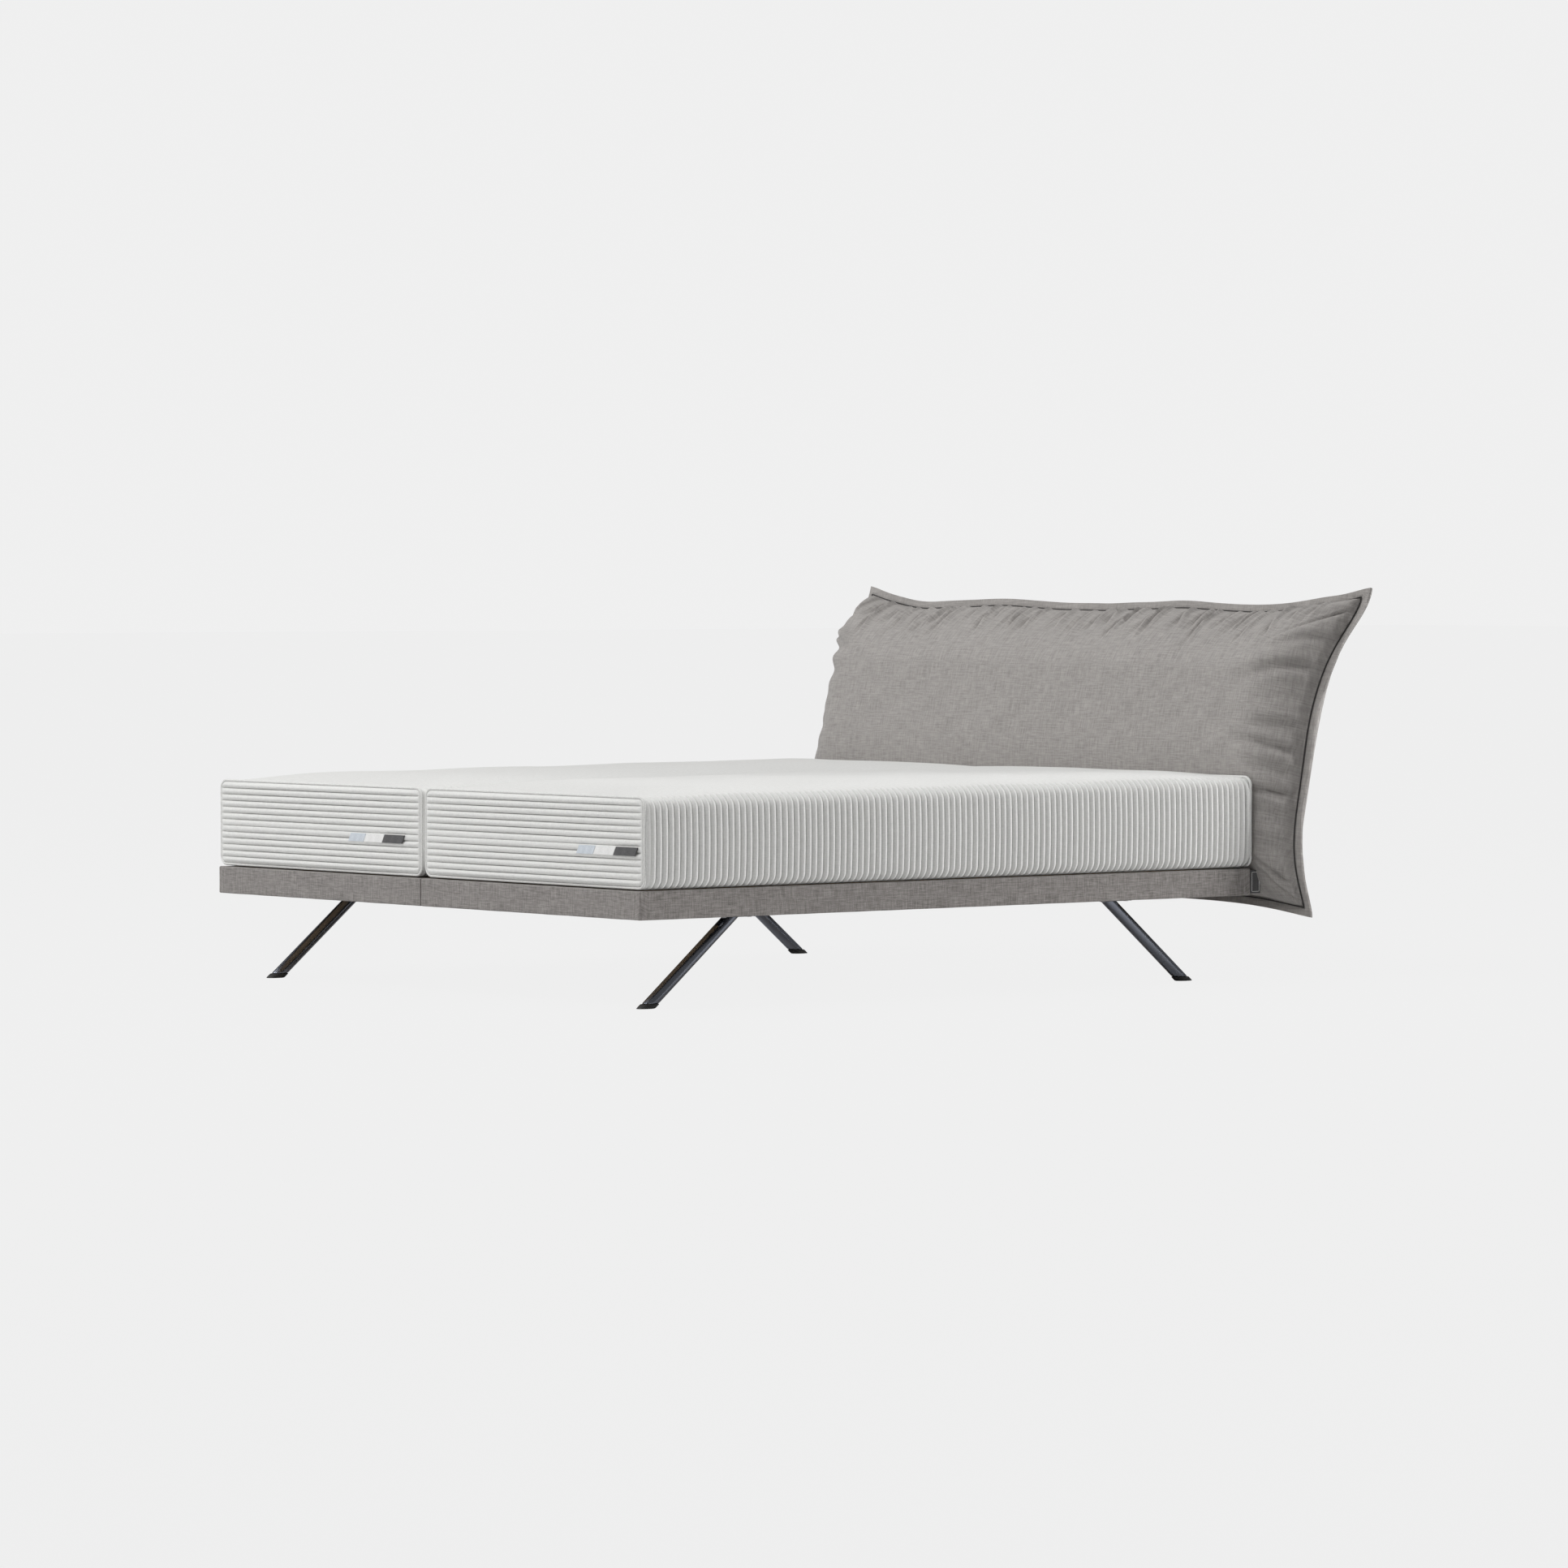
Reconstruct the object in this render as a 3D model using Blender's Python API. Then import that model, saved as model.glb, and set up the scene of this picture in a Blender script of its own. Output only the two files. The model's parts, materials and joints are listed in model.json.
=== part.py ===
"""Adjustable double bed: two motorised 90 x 200 cm halves, two mattresses and a cushion headboard.

+X is the sleeper's right-hand side seen from the foot end, +Y points to the head end, +Z is up.
The origin is on the floor, under the centre of the whole bed. All sizes are in metres.
"""
import math

import bmesh
import bpy
from mathutils import Vector

# ---- driving sizes ----
BED_WIDTH = 1.800
BED_LENGTH = 2.000
BASE_BOTTOM_Z = 0.2208
BASE_TOP_Z = 0.2915
MESH_GAP = 0.0003

RAIL_T = 0.028
INNER_RAIL_T = 0.018
INNER_RAIL_Z = 0.2430
TUBE_W = 0.040
TUBE_Z = (0.2430, 0.2730)
TUBE_WALL = 0.002
BEAM_W = 0.060
BEAM_Z = (0.2215, 0.2427)

BOARD_T = 0.018
BOARD_CLEARANCE = 0.003
HINGE_GAP = 0.014
BACK_LENGTH = 0.780
SEAT_LENGTH = 0.270
THIGH_LENGTH = 0.330

PIN_R = 0.0040
KNUCKLE_R = 0.0060
KNUCKLE_BORE_R = 0.00445
KNUCKLE_W = 0.040
KNUCKLE_STATIONS = (0.14, 0.72)
KNUCKLE_SIDES = 16

BACK_ANGLE = math.radians(60)
THIGH_ANGLE = math.radians(40)
HORN_REACH = 0.0475
HORN_T = 0.008
ROD_R = 0.009
ROD_BORE_R = 0.0094

MATTRESS_Z = (0.2930, 0.5360)
MATTRESS_Y = (-0.992, 1.000)
MATTRESS_X = (0.004, 0.909)

LEG_X = 0.790
LEG_R = 0.015
LEG_SLOPE = 1.22
LEG_FOOT_Y = {"front": -0.898, "rear": 0.866}
BEAM_Y = {"front": -0.630, "rear": 0.600}
PLATE_Z = (0.2155, 0.2212)
GLIDE_H = 0.0115

HEADBOARD_TILT = math.radians(13.9)
CUSHION_FOOT_Y = 1.107
CUSHION_FOOT_Z = 0.185
CUSHION_HALF_WIDTH = 1.022
CUSHION_SPAN = (-0.020, 0.860)
CUSHION_EDGE = 0.013
CUSHION_FRONT_Y = 1.004
BOARD_BACK = 0.0346
HEADBOARD_SPAN = (0.030, 0.780)
BOARD_HALF_WIDTH = 0.840
BRACKET_X = 0.550

TAG_X = (0.8972, 0.8987)
TAG_LENGTH = 0.0355
TAG_Z = (0.2260, 0.2860)

# ---- places worked out from them ----
HALF_WIDTH = BED_WIDTH / 2
HALF_LENGTH = BED_LENGTH / 2
TAG_Y = (HALF_LENGTH + MESH_GAP, HALF_LENGTH + TAG_LENGTH)
REAR_Y = (CUSHION_FOOT_Y + math.sin(HEADBOARD_TILT) * HEADBOARD_SPAN[1]
          + math.cos(HEADBOARD_TILT) * BOARD_BACK)
BASE_Y = (HALF_LENGTH - REAR_Y) / 2
RAIL_END = HALF_LENGTH - RAIL_T
DECK_END = RAIL_END - BOARD_CLEARANCE
BACK_AXIS_Y = DECK_END - BACK_LENGTH - HINGE_GAP / 2
HIP_AXIS_Y = BACK_AXIS_Y - SEAT_LENGTH - HINGE_GAP
KNEE_AXIS_Y = HIP_AXIS_Y - THIGH_LENGTH - HINGE_GAP
AXIS_Z = BASE_TOP_Z - BOARD_T / 2
ROD_Z = AXIS_Z - HORN_REACH
BACK_HORN_X = 0.360
THIGH_HORN_X = 0.540

for startup_object in list(bpy.data.objects):
    bpy.data.objects.remove(startup_object, do_unlink=True)


# ---- materials ----
def material(name, colour, roughness, metallic=0.0):
    made = bpy.data.materials.new(name)
    made.use_nodes = True
    shader = made.node_tree.nodes["Principled BSDF"]
    shader.inputs["Base Color"].default_value = (*colour, 1.0)
    shader.inputs["Roughness"].default_value = roughness
    shader.inputs["Metallic"].default_value = metallic
    return made


BASE_FABRIC = material("base_fabric", (0.25, 0.235, 0.225), 0.92)
CUSHION_FABRIC = material("cushion_fabric", (0.31, 0.295, 0.283), 0.92)
TICKING = material("mattress_ticking", (0.70, 0.69, 0.67), 0.88)
FRAME_STEEL = material("frame_steel", (0.05, 0.05, 0.055), 0.45, 0.6)
DARK_CHROME = material("dark_chrome", (0.10, 0.105, 0.12), 0.15, 1.0)
PIN_STEEL = material("pin_steel", (0.55, 0.55, 0.56), 0.30, 1.0)
DECK_WOOD = material("deck_wood", (0.52, 0.38, 0.24), 0.60)
MOTOR_PLASTIC = material("motor_plastic", (0.06, 0.06, 0.065), 0.50)
GLIDE_PLASTIC = material("glide_plastic", (0.03, 0.03, 0.03), 0.60)
TAG_FABRIC = material("tag_fabric", (0.09, 0.09, 0.10), 0.85)


# ---- shape helpers: coordinates along Y are measured from the middle of the base ----
def add_object(name, vertices, faces, slot):
    mesh = bpy.data.meshes.new(name)
    mesh.from_pydata([(x, y + BASE_Y, z) for x, y, z in vertices], [], faces)
    shape = bmesh.new()
    shape.from_mesh(mesh)
    bmesh.ops.recalc_face_normals(shape, faces=shape.faces)
    shape.to_mesh(mesh)
    shape.free()
    mesh.materials.append(slot)
    made = bpy.data.objects.new(name, mesh)
    bpy.context.scene.collection.objects.link(made)
    return made


def loft(name, rings, slot):
    """Closed solid through rings of equal point count, with flat end faces."""
    count = len(rings[0])
    vertices = [point for ring in rings for point in ring]
    faces = [tuple(range(count))[::-1]]
    faces.append(tuple(range(len(vertices) - count, len(vertices))))
    for level in range(len(rings) - 1):
        for i in range(count):
            j = (i + 1) % count
            low = level * count
            faces.append((low + i, low + j, low + count + j, low + count + i))
    return add_object(name, vertices, faces, slot)


def prism(name, outline, x_span, slot):
    """An outline of (y, z) points extruded along X."""
    rings = [[(x, y, z) for y, z in outline] for x in x_span]
    return loft(name, rings, slot)


def box(name, x_span, y_span, z_span, slot, bevel=0.0):
    (y0, y1), (z0, z1) = y_span, z_span
    made = prism(name, [(y0, z0), (y1, z0), (y1, z1), (y0, z1)], x_span, slot)
    if bevel:
        rounding = made.modifiers.new("Rounding", "BEVEL")
        rounding.width = bevel
        rounding.segments = 2
    return made


def smooth(made):
    made.data.shade_smooth()
    made.data.set_sharp_from_angle(angle=math.radians(35))
    return made


def rod(name, start, end, radius, slot, sides=24):
    """A round bar between two points."""
    start, end = Vector(start), Vector(end)
    along = (end - start).normalized()
    side = along.orthogonal().normalized()
    other = along.cross(side)
    rings = []
    for centre in (start, end):
        turn = [2 * math.pi * i / sides for i in range(sides)]
        rings.append([tuple(centre + radius * (side * math.cos(a) + other * math.sin(a))) for a in turn])
    return smooth(loft(name, rings, slot))


def combine(target, operand, operation):
    """Adds a shape to the target, or cuts it away; the operand is only a guide."""
    change = target.modifiers.new(operand.name, "BOOLEAN")
    change.operation = operation
    change.solver = "EXACT"
    change.object = operand
    operand.hide_render = True
    operand.display_type = "WIRE"


def pivot(name, y):
    """An empty on a hinge axis, which the pieces that turn about it are parented to."""
    made = bpy.data.objects.new(name, None)
    made.location = (0.0, y + BASE_Y, AXIS_Z)
    bpy.context.scene.collection.objects.link(made)
    bpy.context.view_layer.update()
    return made


def hang_on(empty, *pieces):
    for piece in pieces:
        piece.parent = empty
        piece.matrix_parent_inverse = empty.matrix_world.inverted()


def headboard_point(up, back):
    """(y, z) of a point in the headboard's leaning plane."""
    y = CUSHION_FOOT_Y + math.sin(HEADBOARD_TILT) * up + math.cos(HEADBOARD_TILT) * back
    z = CUSHION_FOOT_Z + math.cos(HEADBOARD_TILT) * up - math.sin(HEADBOARD_TILT) * back
    return y, z


# ---- base frame ----
def steel_tube_along(name, x_span, y_span, z_span, slot, open_axis):
    """A rectangular steel tube, open at both ends along X or Y."""
    made = box(name, x_span, y_span, z_span, slot)
    spans = [x_span, y_span, z_span]
    hollow = []
    for axis, (low, high) in enumerate(spans):
        wall = -0.01 if axis == open_axis else TUBE_WALL
        hollow.append((low + wall, high - wall))
    combine(made, box(name + "_hollow", *hollow, slot), "DIFFERENCE")
    return made


def base_half(side, sign):
    def span(near, far):
        return tuple(sorted((sign * near, sign * far)))

    rail_z = (BASE_BOTTOM_Z, BASE_TOP_Z)
    clear_end = RAIL_END - MESH_GAP
    seam = 0.001
    box(f"{side}_foot_rail", span(seam, HALF_WIDTH), (-HALF_LENGTH, -RAIL_END), rail_z, BASE_FABRIC, 0.003)
    box(f"{side}_head_rail", span(seam, HALF_WIDTH), (RAIL_END, HALF_LENGTH), rail_z, BASE_FABRIC, 0.003)
    side_inner = HALF_WIDTH - RAIL_T
    ends = (-clear_end, clear_end)
    box(f"{side}_side_rail", span(side_inner, HALF_WIDTH), ends, rail_z, BASE_FABRIC, 0.003)
    inner_face = seam + INNER_RAIL_T
    inner_z = (INNER_RAIL_Z, BASE_TOP_Z)
    box(f"{side}_inner_rail", span(seam, inner_face), ends, inner_z, BASE_FABRIC, 0.002)
    outer_tube = span(side_inner - MESH_GAP - TUBE_W, side_inner - MESH_GAP)
    steel_tube_along(f"{side}_outer_chassis_tube", outer_tube, ends, TUBE_Z, FRAME_STEEL, 1)
    inner_tube = span(inner_face + MESH_GAP, inner_face + MESH_GAP + TUBE_W)
    steel_tube_along(f"{side}_inner_chassis_tube", inner_tube, ends, TUBE_Z, FRAME_STEEL, 1)
    box_outer = side_inner - 2 * MESH_GAP - TUBE_W
    control = box(f"{side}_control_box", span(box_outer - 0.130, box_outer), (0.250, 0.450),
                  (0.2350, 0.2700), MOTOR_PLASTIC, 0.004)
    socket = box(f"{side}_socket_hole", span(box_outer - 0.085, box_outer - 0.045), (0.235, 0.262),
                 (0.2440, 0.2610), MOTOR_PLASTIC)
    combine(control, socket, "DIFFERENCE")


# ---- deck boards, hinges and mattresses ----
def knuckles(board, board_edge, axis_y, sign, shift):
    """Hinge eyes on a board's edge, with a bore for the pin."""
    toward_board = 1 if board_edge > axis_y else -1
    for number, station in enumerate(KNUCKLE_STATIONS):
        near = station + shift
        x_span = tuple(sorted((sign * near, sign * (near + KNUCKLE_W))))
        label = f"{board.name}_{toward_board}_{number}"
        web_y = tuple(sorted((axis_y, board_edge + toward_board * 0.004)))
        web = box(label + "_web", x_span, web_y, (AXIS_Z - 0.003, AXIS_Z + 0.003), PIN_STEEL)
        combine(board, web, "UNION")
        eye = rod(label + "_eye", (x_span[0], axis_y, AXIS_Z), (x_span[1], axis_y, AXIS_Z), KNUCKLE_R,
                  PIN_STEEL, KNUCKLE_SIDES)
        combine(board, eye, "UNION")
    reach = (sign * 0.06, sign * 0.868)
    bore = rod(f"{board.name}_{toward_board}_bore", (reach[0], axis_y, AXIS_Z), (reach[1], axis_y, AXIS_Z),
               KNUCKLE_BORE_R, PIN_STEEL, KNUCKLE_SIDES)
    combine(board, bore, "DIFFERENCE")


def horn_outline(axis_y, lean, toward):
    """Side outline of the lever under a board: its slot stands `lean` from vertical at rest."""
    along = (-math.sin(lean), -math.cos(lean))
    across = (math.cos(lean), -math.sin(lean))

    def place(down, sideways):
        y = along[0] * down + across[0] * sideways
        z = along[1] * down + across[1] * sideways
        return axis_y + toward * y, AXIS_Z + z

    root = AXIS_Z - BOARD_T / 2 + 0.004
    tip = 0.066
    half = 0.011
    outline = [(axis_y + toward * 0.012, root), (axis_y + toward * 0.060, root),
               place(tip, half), place(tip, -half)]
    return outline, place


def horn(board, x, axis_y, lean, toward, slot_reach):
    """A slotted lever, which the motor's push rod turns the board with."""
    outline, place = horn_outline(axis_y, lean, toward)
    plate = prism(f"{board.name}_horn", outline, (x - HORN_T / 2, x + HORN_T / 2), FRAME_STEEL)
    combine(board, plate, "UNION")
    half_slot = 0.0056
    corners = [place(slot_reach[0], -half_slot), place(slot_reach[0], half_slot),
               place(slot_reach[1], half_slot), place(slot_reach[1], -half_slot)]
    slot = prism(f"{board.name}_slot", corners, (x - HORN_T, x + HORN_T), FRAME_STEEL)
    combine(board, slot, "DIFFERENCE")


def mattress_blocks(side, sign):
    """Foam sections; their meeting faces lean by half the fold angle where the bed folds up."""
    x_span = tuple(sorted(sign * x for x in MATTRESS_X))
    low, high = MATTRESS_Z
    height = high - low
    part_gap = 0.0015
    back_low = BACK_AXIS_Y + 0.010
    back_high = back_low + height * math.tan(BACK_ANGLE / 2 + math.radians(1))
    hip_low = HIP_AXIS_Y - 0.008
    hip_high = hip_low - height * math.tan(THIGH_ANGLE / 2 + math.radians(1))
    knee = KNEE_AXIS_Y
    foot, head = MATTRESS_Y
    outlines = {
        "back": [(back_low, low), (head, low), (head, high), (back_high, high)],
        "seat": [(hip_low + part_gap, low), (back_low - part_gap, low),
                 (back_high - part_gap, high), (hip_high + part_gap, high)],
        "thigh": [(knee + part_gap, low), (hip_low, low), (hip_high, high), (knee + part_gap, high)],
        "calf": [(foot, low), (knee - part_gap, low), (knee - part_gap, high), (foot, high)],
    }
    return {section: prism(f"{side}_mattress_{section}", outline, x_span, TICKING)
            for section, outline in outlines.items()}


def sleeping_half(side, sign):
    x_span = tuple(sorted((sign * 0.022, sign * (HALF_WIDTH - RAIL_T - BOARD_CLEARANCE))))
    half_gap = HINGE_GAP / 2
    board_z = (BASE_TOP_Z - BOARD_T, BASE_TOP_Z)
    sections = {
        "back": (BACK_AXIS_Y + half_gap, DECK_END),
        "seat": (HIP_AXIS_Y + half_gap, BACK_AXIS_Y - half_gap),
        "thigh": (KNEE_AXIS_Y + half_gap, HIP_AXIS_Y - half_gap),
        "calf": (-DECK_END, KNEE_AXIS_Y - half_gap),
    }
    boards = {section: box(f"{side}_deck_{section}", x_span, y_span, board_z, DECK_WOOD)
              for section, y_span in sections.items()}
    joined = ((BACK_AXIS_Y, "seat", "back"), (HIP_AXIS_Y, "seat", "thigh"), (KNEE_AXIS_Y, "thigh", "calf"))
    for axis_y, fixed, moving in joined:
        fixed_edge = min(sections[fixed], key=lambda y, a=axis_y: abs(y - a))
        moving_edge = min(sections[moving], key=lambda y, a=axis_y: abs(y - a))
        knuckles(boards[fixed], fixed_edge, axis_y, sign, 0.0)
        knuckles(boards[moving], moving_edge, axis_y, sign, KNUCKLE_W + 0.005)
    horn(boards["back"], sign * BACK_HORN_X, BACK_AXIS_Y, BACK_ANGLE / 2, 1, (0.0415, 0.0605))
    horn(boards["thigh"], sign * THIGH_HORN_X, HIP_AXIS_Y, THIGH_ANGLE / 2, -1, (0.0415, 0.0565))
    foam = mattress_blocks(side, sign)
    pins = {}
    for label, axis_y in (("back", BACK_AXIS_Y), ("hip", HIP_AXIS_Y), ("knee", KNEE_AXIS_Y)):
        ends = [(sign * x, axis_y, AXIS_Z) for x in (0.064, 0.866)]
        pins[label] = rod(f"{side}_{label}_pin", ends[0], ends[1], PIN_R, PIN_STEEL, KNUCKLE_SIDES)
    back_turn = pivot(f"{side}_back_turn", BACK_AXIS_Y)
    thigh_turn = pivot(f"{side}_thigh_turn", HIP_AXIS_Y)
    calf_turn = pivot(f"{side}_calf_turn", KNEE_AXIS_Y)
    hang_on(thigh_turn, calf_turn)
    hang_on(back_turn, boards["back"], foam["back"])
    hang_on(thigh_turn, boards["thigh"], foam["thigh"], pins["knee"])
    hang_on(calf_turn, boards["calf"], foam["calf"])


# ---- motors: a housing fixed under the deck, and a push rod whose cross pin rides in the horn ----
def motor(side, sign, label, x, axis_y, fold_angle, toward, far_end):
    """toward is +1 where the rod runs out to +Y, -1 where it runs out to -Y."""
    x = sign * x
    pin_y = axis_y - toward * HORN_REACH * math.tan(fold_angle / 2)
    mouth = pin_y - toward * 0.225
    housing_y = tuple(sorted((far_end, mouth)))
    housing = box(f"{side}_{label}_motor", (x - 0.022, x + 0.022), housing_y,
                  (BEAM_Z[0], 0.2600), MOTOR_PLASTIC, 0.003)
    gear_y = far_end + toward * 0.110
    gearbox = box(f"{side}_{label}_gearbox", (x - 0.045, x + 0.045), (gear_y - 0.050, gear_y + 0.050),
                  (BEAM_Z[0] - 0.0005, 0.2680), MOTOR_PLASTIC, 0.006)
    combine(housing, gearbox, "UNION")
    bore = rod(f"{side}_{label}_rod_bore", (x, mouth - toward * 0.190, ROD_Z),
               (x, mouth + toward * 0.010, ROD_Z), ROD_BORE_R, MOTOR_PLASTIC)
    combine(housing, bore, "DIFFERENCE")
    push_rod = rod(f"{side}_{label}_motor_rod", (x, mouth - toward * 0.110, ROD_Z),
                   (x, pin_y - toward * 0.040, ROD_Z), ROD_R, PIN_STEEL)
    fork_y = tuple(sorted((pin_y - toward * 0.058, pin_y + toward * 0.010)))
    fork = box(f"{side}_{label}_fork", (x - 0.012, x + 0.012), fork_y,
               (ROD_Z - 0.009, ROD_Z + 0.009), PIN_STEEL)
    combine(push_rod, fork, "UNION")
    throat_y = tuple(sorted((pin_y - toward * 0.038, pin_y + toward * 0.020)))
    throat = box(f"{side}_{label}_throat", (x - 0.0055, x + 0.0055), throat_y,
                 (ROD_Z - 0.020, ROD_Z + 0.020), PIN_STEEL)
    combine(push_rod, throat, "DIFFERENCE")
    cross_pin = rod(f"{side}_{label}_cross_pin", (x - 0.0115, pin_y, ROD_Z), (x + 0.0115, pin_y, ROD_Z),
                    PIN_R, PIN_STEEL, KNUCKLE_SIDES)
    combine(push_rod, cross_pin, "UNION")


# ---- cross beams and legs ----
def cross_beam(end):
    reach = HALF_WIDTH - RAIL_T - MESH_GAP
    y_span = (BEAM_Y[end] - BEAM_W / 2, BEAM_Y[end] + BEAM_W / 2)
    steel_tube_along(f"{end}_cross_beam", (-reach, reach), y_span, BEAM_Z, FRAME_STEEL, 0)


def ellipse(x, y, z, half_x, half_y, sides=32):
    turn = [2 * math.pi * i / sides for i in range(sides)]
    return [(x + half_x * math.cos(a), y + half_y * math.sin(a), z) for a in turn]


def leg(side, sign, end):
    """A round tube that leans out towards its end of the bed, cut level at both ends."""
    lean = LEG_SLOPE if end == "rear" else -LEG_SLOPE
    stretch = math.sqrt(1 + LEG_SLOPE ** 2)
    x = sign * LEG_X

    def section(z, radius):
        return ellipse(x, LEG_FOOT_Y[end] - lean * z, z, radius, radius * stretch)

    name = f"{end}_{side}"
    ends = [section(GLIDE_H + MESH_GAP, LEG_R), section(PLATE_Z[0] + 0.003, LEG_R)]
    tube = loft(f"{name}_leg", ends, DARK_CHROME)
    top_y = LEG_FOOT_Y[end] - lean * PLATE_Z[0]
    plate = box(f"{name}_plate", (x - 0.035, x + 0.035), (top_y - 0.050, top_y + 0.050), PLATE_Z,
                DARK_CHROME, 0.002)
    combine(tube, plate, "UNION")
    smooth(tube)
    cap = [section(0.0, LEG_R + 0.002), section(GLIDE_H, LEG_R + 0.002)]
    smooth(loft(f"{name}_glide", cap, GLIDE_PLASTIC))


# ---- headboard ----
def headboard():
    board_front = CUSHION_EDGE + 2 * MESH_GAP
    board = [headboard_point(up, back) for up, back in (
        (HEADBOARD_SPAN[0], board_front), (HEADBOARD_SPAN[0], BOARD_BACK),
        (HEADBOARD_SPAN[1], BOARD_BACK), (HEADBOARD_SPAN[1], board_front))]
    prism("headboard_board", board, (-BOARD_HALF_WIDTH, BOARD_HALF_WIDTH), CUSHION_FABRIC)
    # forward of the leaning plane, then how far each edge is drawn in: sides, bottom, top
    crown = ((-CUSHION_EDGE, 0.0, 0.0, 0.0), (0.045, 0.0, 0.0, 0.012), (0.075, 0.002, 0.068, 0.022),
             (0.150, 0.045, 0.238, 0.055), (0.195, 0.140, 0.340, 0.160))
    rings = []
    for forward, sides, bottom, top in crown:
        half_width = CUSHION_HALF_WIDTH - sides
        low, high = CUSHION_SPAN[0] + bottom, CUSHION_SPAN[1] - top
        rings.append([(x, *headboard_point(up, -forward)) for x, up in (
            (-half_width, low), (half_width, low), (half_width, high), (-half_width, high))])
    cushion = loft("headboard_cushion", rings, CUSHION_FABRIC)
    pressed = box("pressed_face", (-1.1, 1.1), (0.80, CUSHION_FRONT_Y), (0.10, 1.10), CUSHION_FABRIC)
    combine(cushion, pressed, "DIFFERENCE")
    for side, sign in (("left", -1), ("right", 1)):
        x = sign * BRACKET_X
        x_span = (x - 0.027, x + 0.027)
        slit = [(0.99, 0.236), (1.14, 0.236), (1.14, 0.276), (0.99, 0.276)]
        combine(cushion, prism(f"{side}_slit", slit, x_span, CUSHION_FABRIC), "DIFFERENCE")
        pocket = [headboard_point(up, back) for up, back in (
            (0.030, 0.0050), (0.030, 0.02), (0.133, 0.02), (0.133, 0.0050))]
        combine(cushion, prism(f"{side}_pocket", pocket, x_span, CUSHION_FABRIC), "DIFFERENCE")
        bracket(side, x)


def bracket(side, x):
    """Joins the head rail to the headboard's board through a slit in the cushion."""
    near = HALF_LENGTH + MESH_GAP
    plate = near + 0.006
    arm_low, arm_high = 0.238, 0.274
    shoe = (0.0070, CUSHION_EDGE + MESH_GAP)

    def on_shoe(z):
        up = (z - CUSHION_FOOT_Z + math.sin(HEADBOARD_TILT) * shoe[0]) / math.cos(HEADBOARD_TILT)
        return headboard_point(up, shoe[0])

    outline = [(near, 0.228), (plate, 0.228), (plate, arm_low), on_shoe(arm_low),
               headboard_point(0.033, shoe[0]), headboard_point(0.033, shoe[1]),
               headboard_point(0.130, shoe[1]), headboard_point(0.130, shoe[0]),
               on_shoe(arm_high), (plate, arm_high), (plate, 0.284), (near, 0.284)]
    prism(f"headboard_bracket_{side}", outline, (x - 0.025, x + 0.025), FRAME_STEEL)


# ---- the whole bed ----
for side_name, side_sign in (("left", -1), ("right", 1)):
    base_half(side_name, side_sign)
    sleeping_half(side_name, side_sign)
    motor(side_name, side_sign, "back", BACK_HORN_X, BACK_AXIS_Y, BACK_ANGLE, 1,
          BEAM_Y["front"] + BEAM_W / 2 + MESH_GAP)
    motor(side_name, side_sign, "thigh", THIGH_HORN_X, HIP_AXIS_Y, THIGH_ANGLE, -1,
          BEAM_Y["rear"] - BEAM_W / 2 - MESH_GAP)
    for end_name in ("front", "rear"):
        leg(side_name, side_sign, end_name)
for end_name in ("front", "rear"):
    cross_beam(end_name)
headboard()
box("side_tag", TAG_X, TAG_Y, TAG_Z, TAG_FABRIC)
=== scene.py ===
"""Looks of an adjustable double bed: upholstered base, ribbed mattresses, cushion headboard, chromed legs.

Everything is in metres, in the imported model's frame: +X right, +Y to the head end, +Z up.
"""
import json
import math

import bpy
import numpy as np
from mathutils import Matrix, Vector


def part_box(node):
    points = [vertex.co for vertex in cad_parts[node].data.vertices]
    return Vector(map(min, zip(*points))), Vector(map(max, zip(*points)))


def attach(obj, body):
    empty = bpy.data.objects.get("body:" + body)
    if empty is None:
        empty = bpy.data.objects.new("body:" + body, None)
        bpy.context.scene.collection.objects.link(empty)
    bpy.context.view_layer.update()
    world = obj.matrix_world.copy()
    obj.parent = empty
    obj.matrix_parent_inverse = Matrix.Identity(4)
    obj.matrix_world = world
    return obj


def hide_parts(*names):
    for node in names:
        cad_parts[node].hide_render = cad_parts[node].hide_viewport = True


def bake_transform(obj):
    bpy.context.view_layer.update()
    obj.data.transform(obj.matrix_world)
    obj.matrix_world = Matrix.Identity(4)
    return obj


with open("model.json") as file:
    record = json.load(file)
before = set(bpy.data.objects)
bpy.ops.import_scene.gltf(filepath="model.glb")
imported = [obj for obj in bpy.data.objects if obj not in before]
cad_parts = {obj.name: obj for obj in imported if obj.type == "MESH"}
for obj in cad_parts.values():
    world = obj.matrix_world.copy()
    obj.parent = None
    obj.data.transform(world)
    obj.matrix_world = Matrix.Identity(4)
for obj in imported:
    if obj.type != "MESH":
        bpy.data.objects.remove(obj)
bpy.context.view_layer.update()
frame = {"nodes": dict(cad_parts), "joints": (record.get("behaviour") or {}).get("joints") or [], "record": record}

# ---- places read from the frame ----
FOOT_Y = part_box("right_foot_rail")[0].y
HEAD_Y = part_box("right_head_rail")[1].y
BASE_Y = (FOOT_Y + HEAD_Y) / 2
BASE_LOW, BASE_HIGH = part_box("right_foot_rail")[0].z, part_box("right_foot_rail")[1].z
HALF_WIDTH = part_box("right_foot_rail")[1].x
RAIL_T = HEAD_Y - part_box("right_head_rail")[0].y
AXIS = {j["name"]: Vector(j["pos_m"]) for j in frame["joints"] if j["type"] == "hinge"}
SIDES = (("left", -1), ("right", 1))


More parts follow.
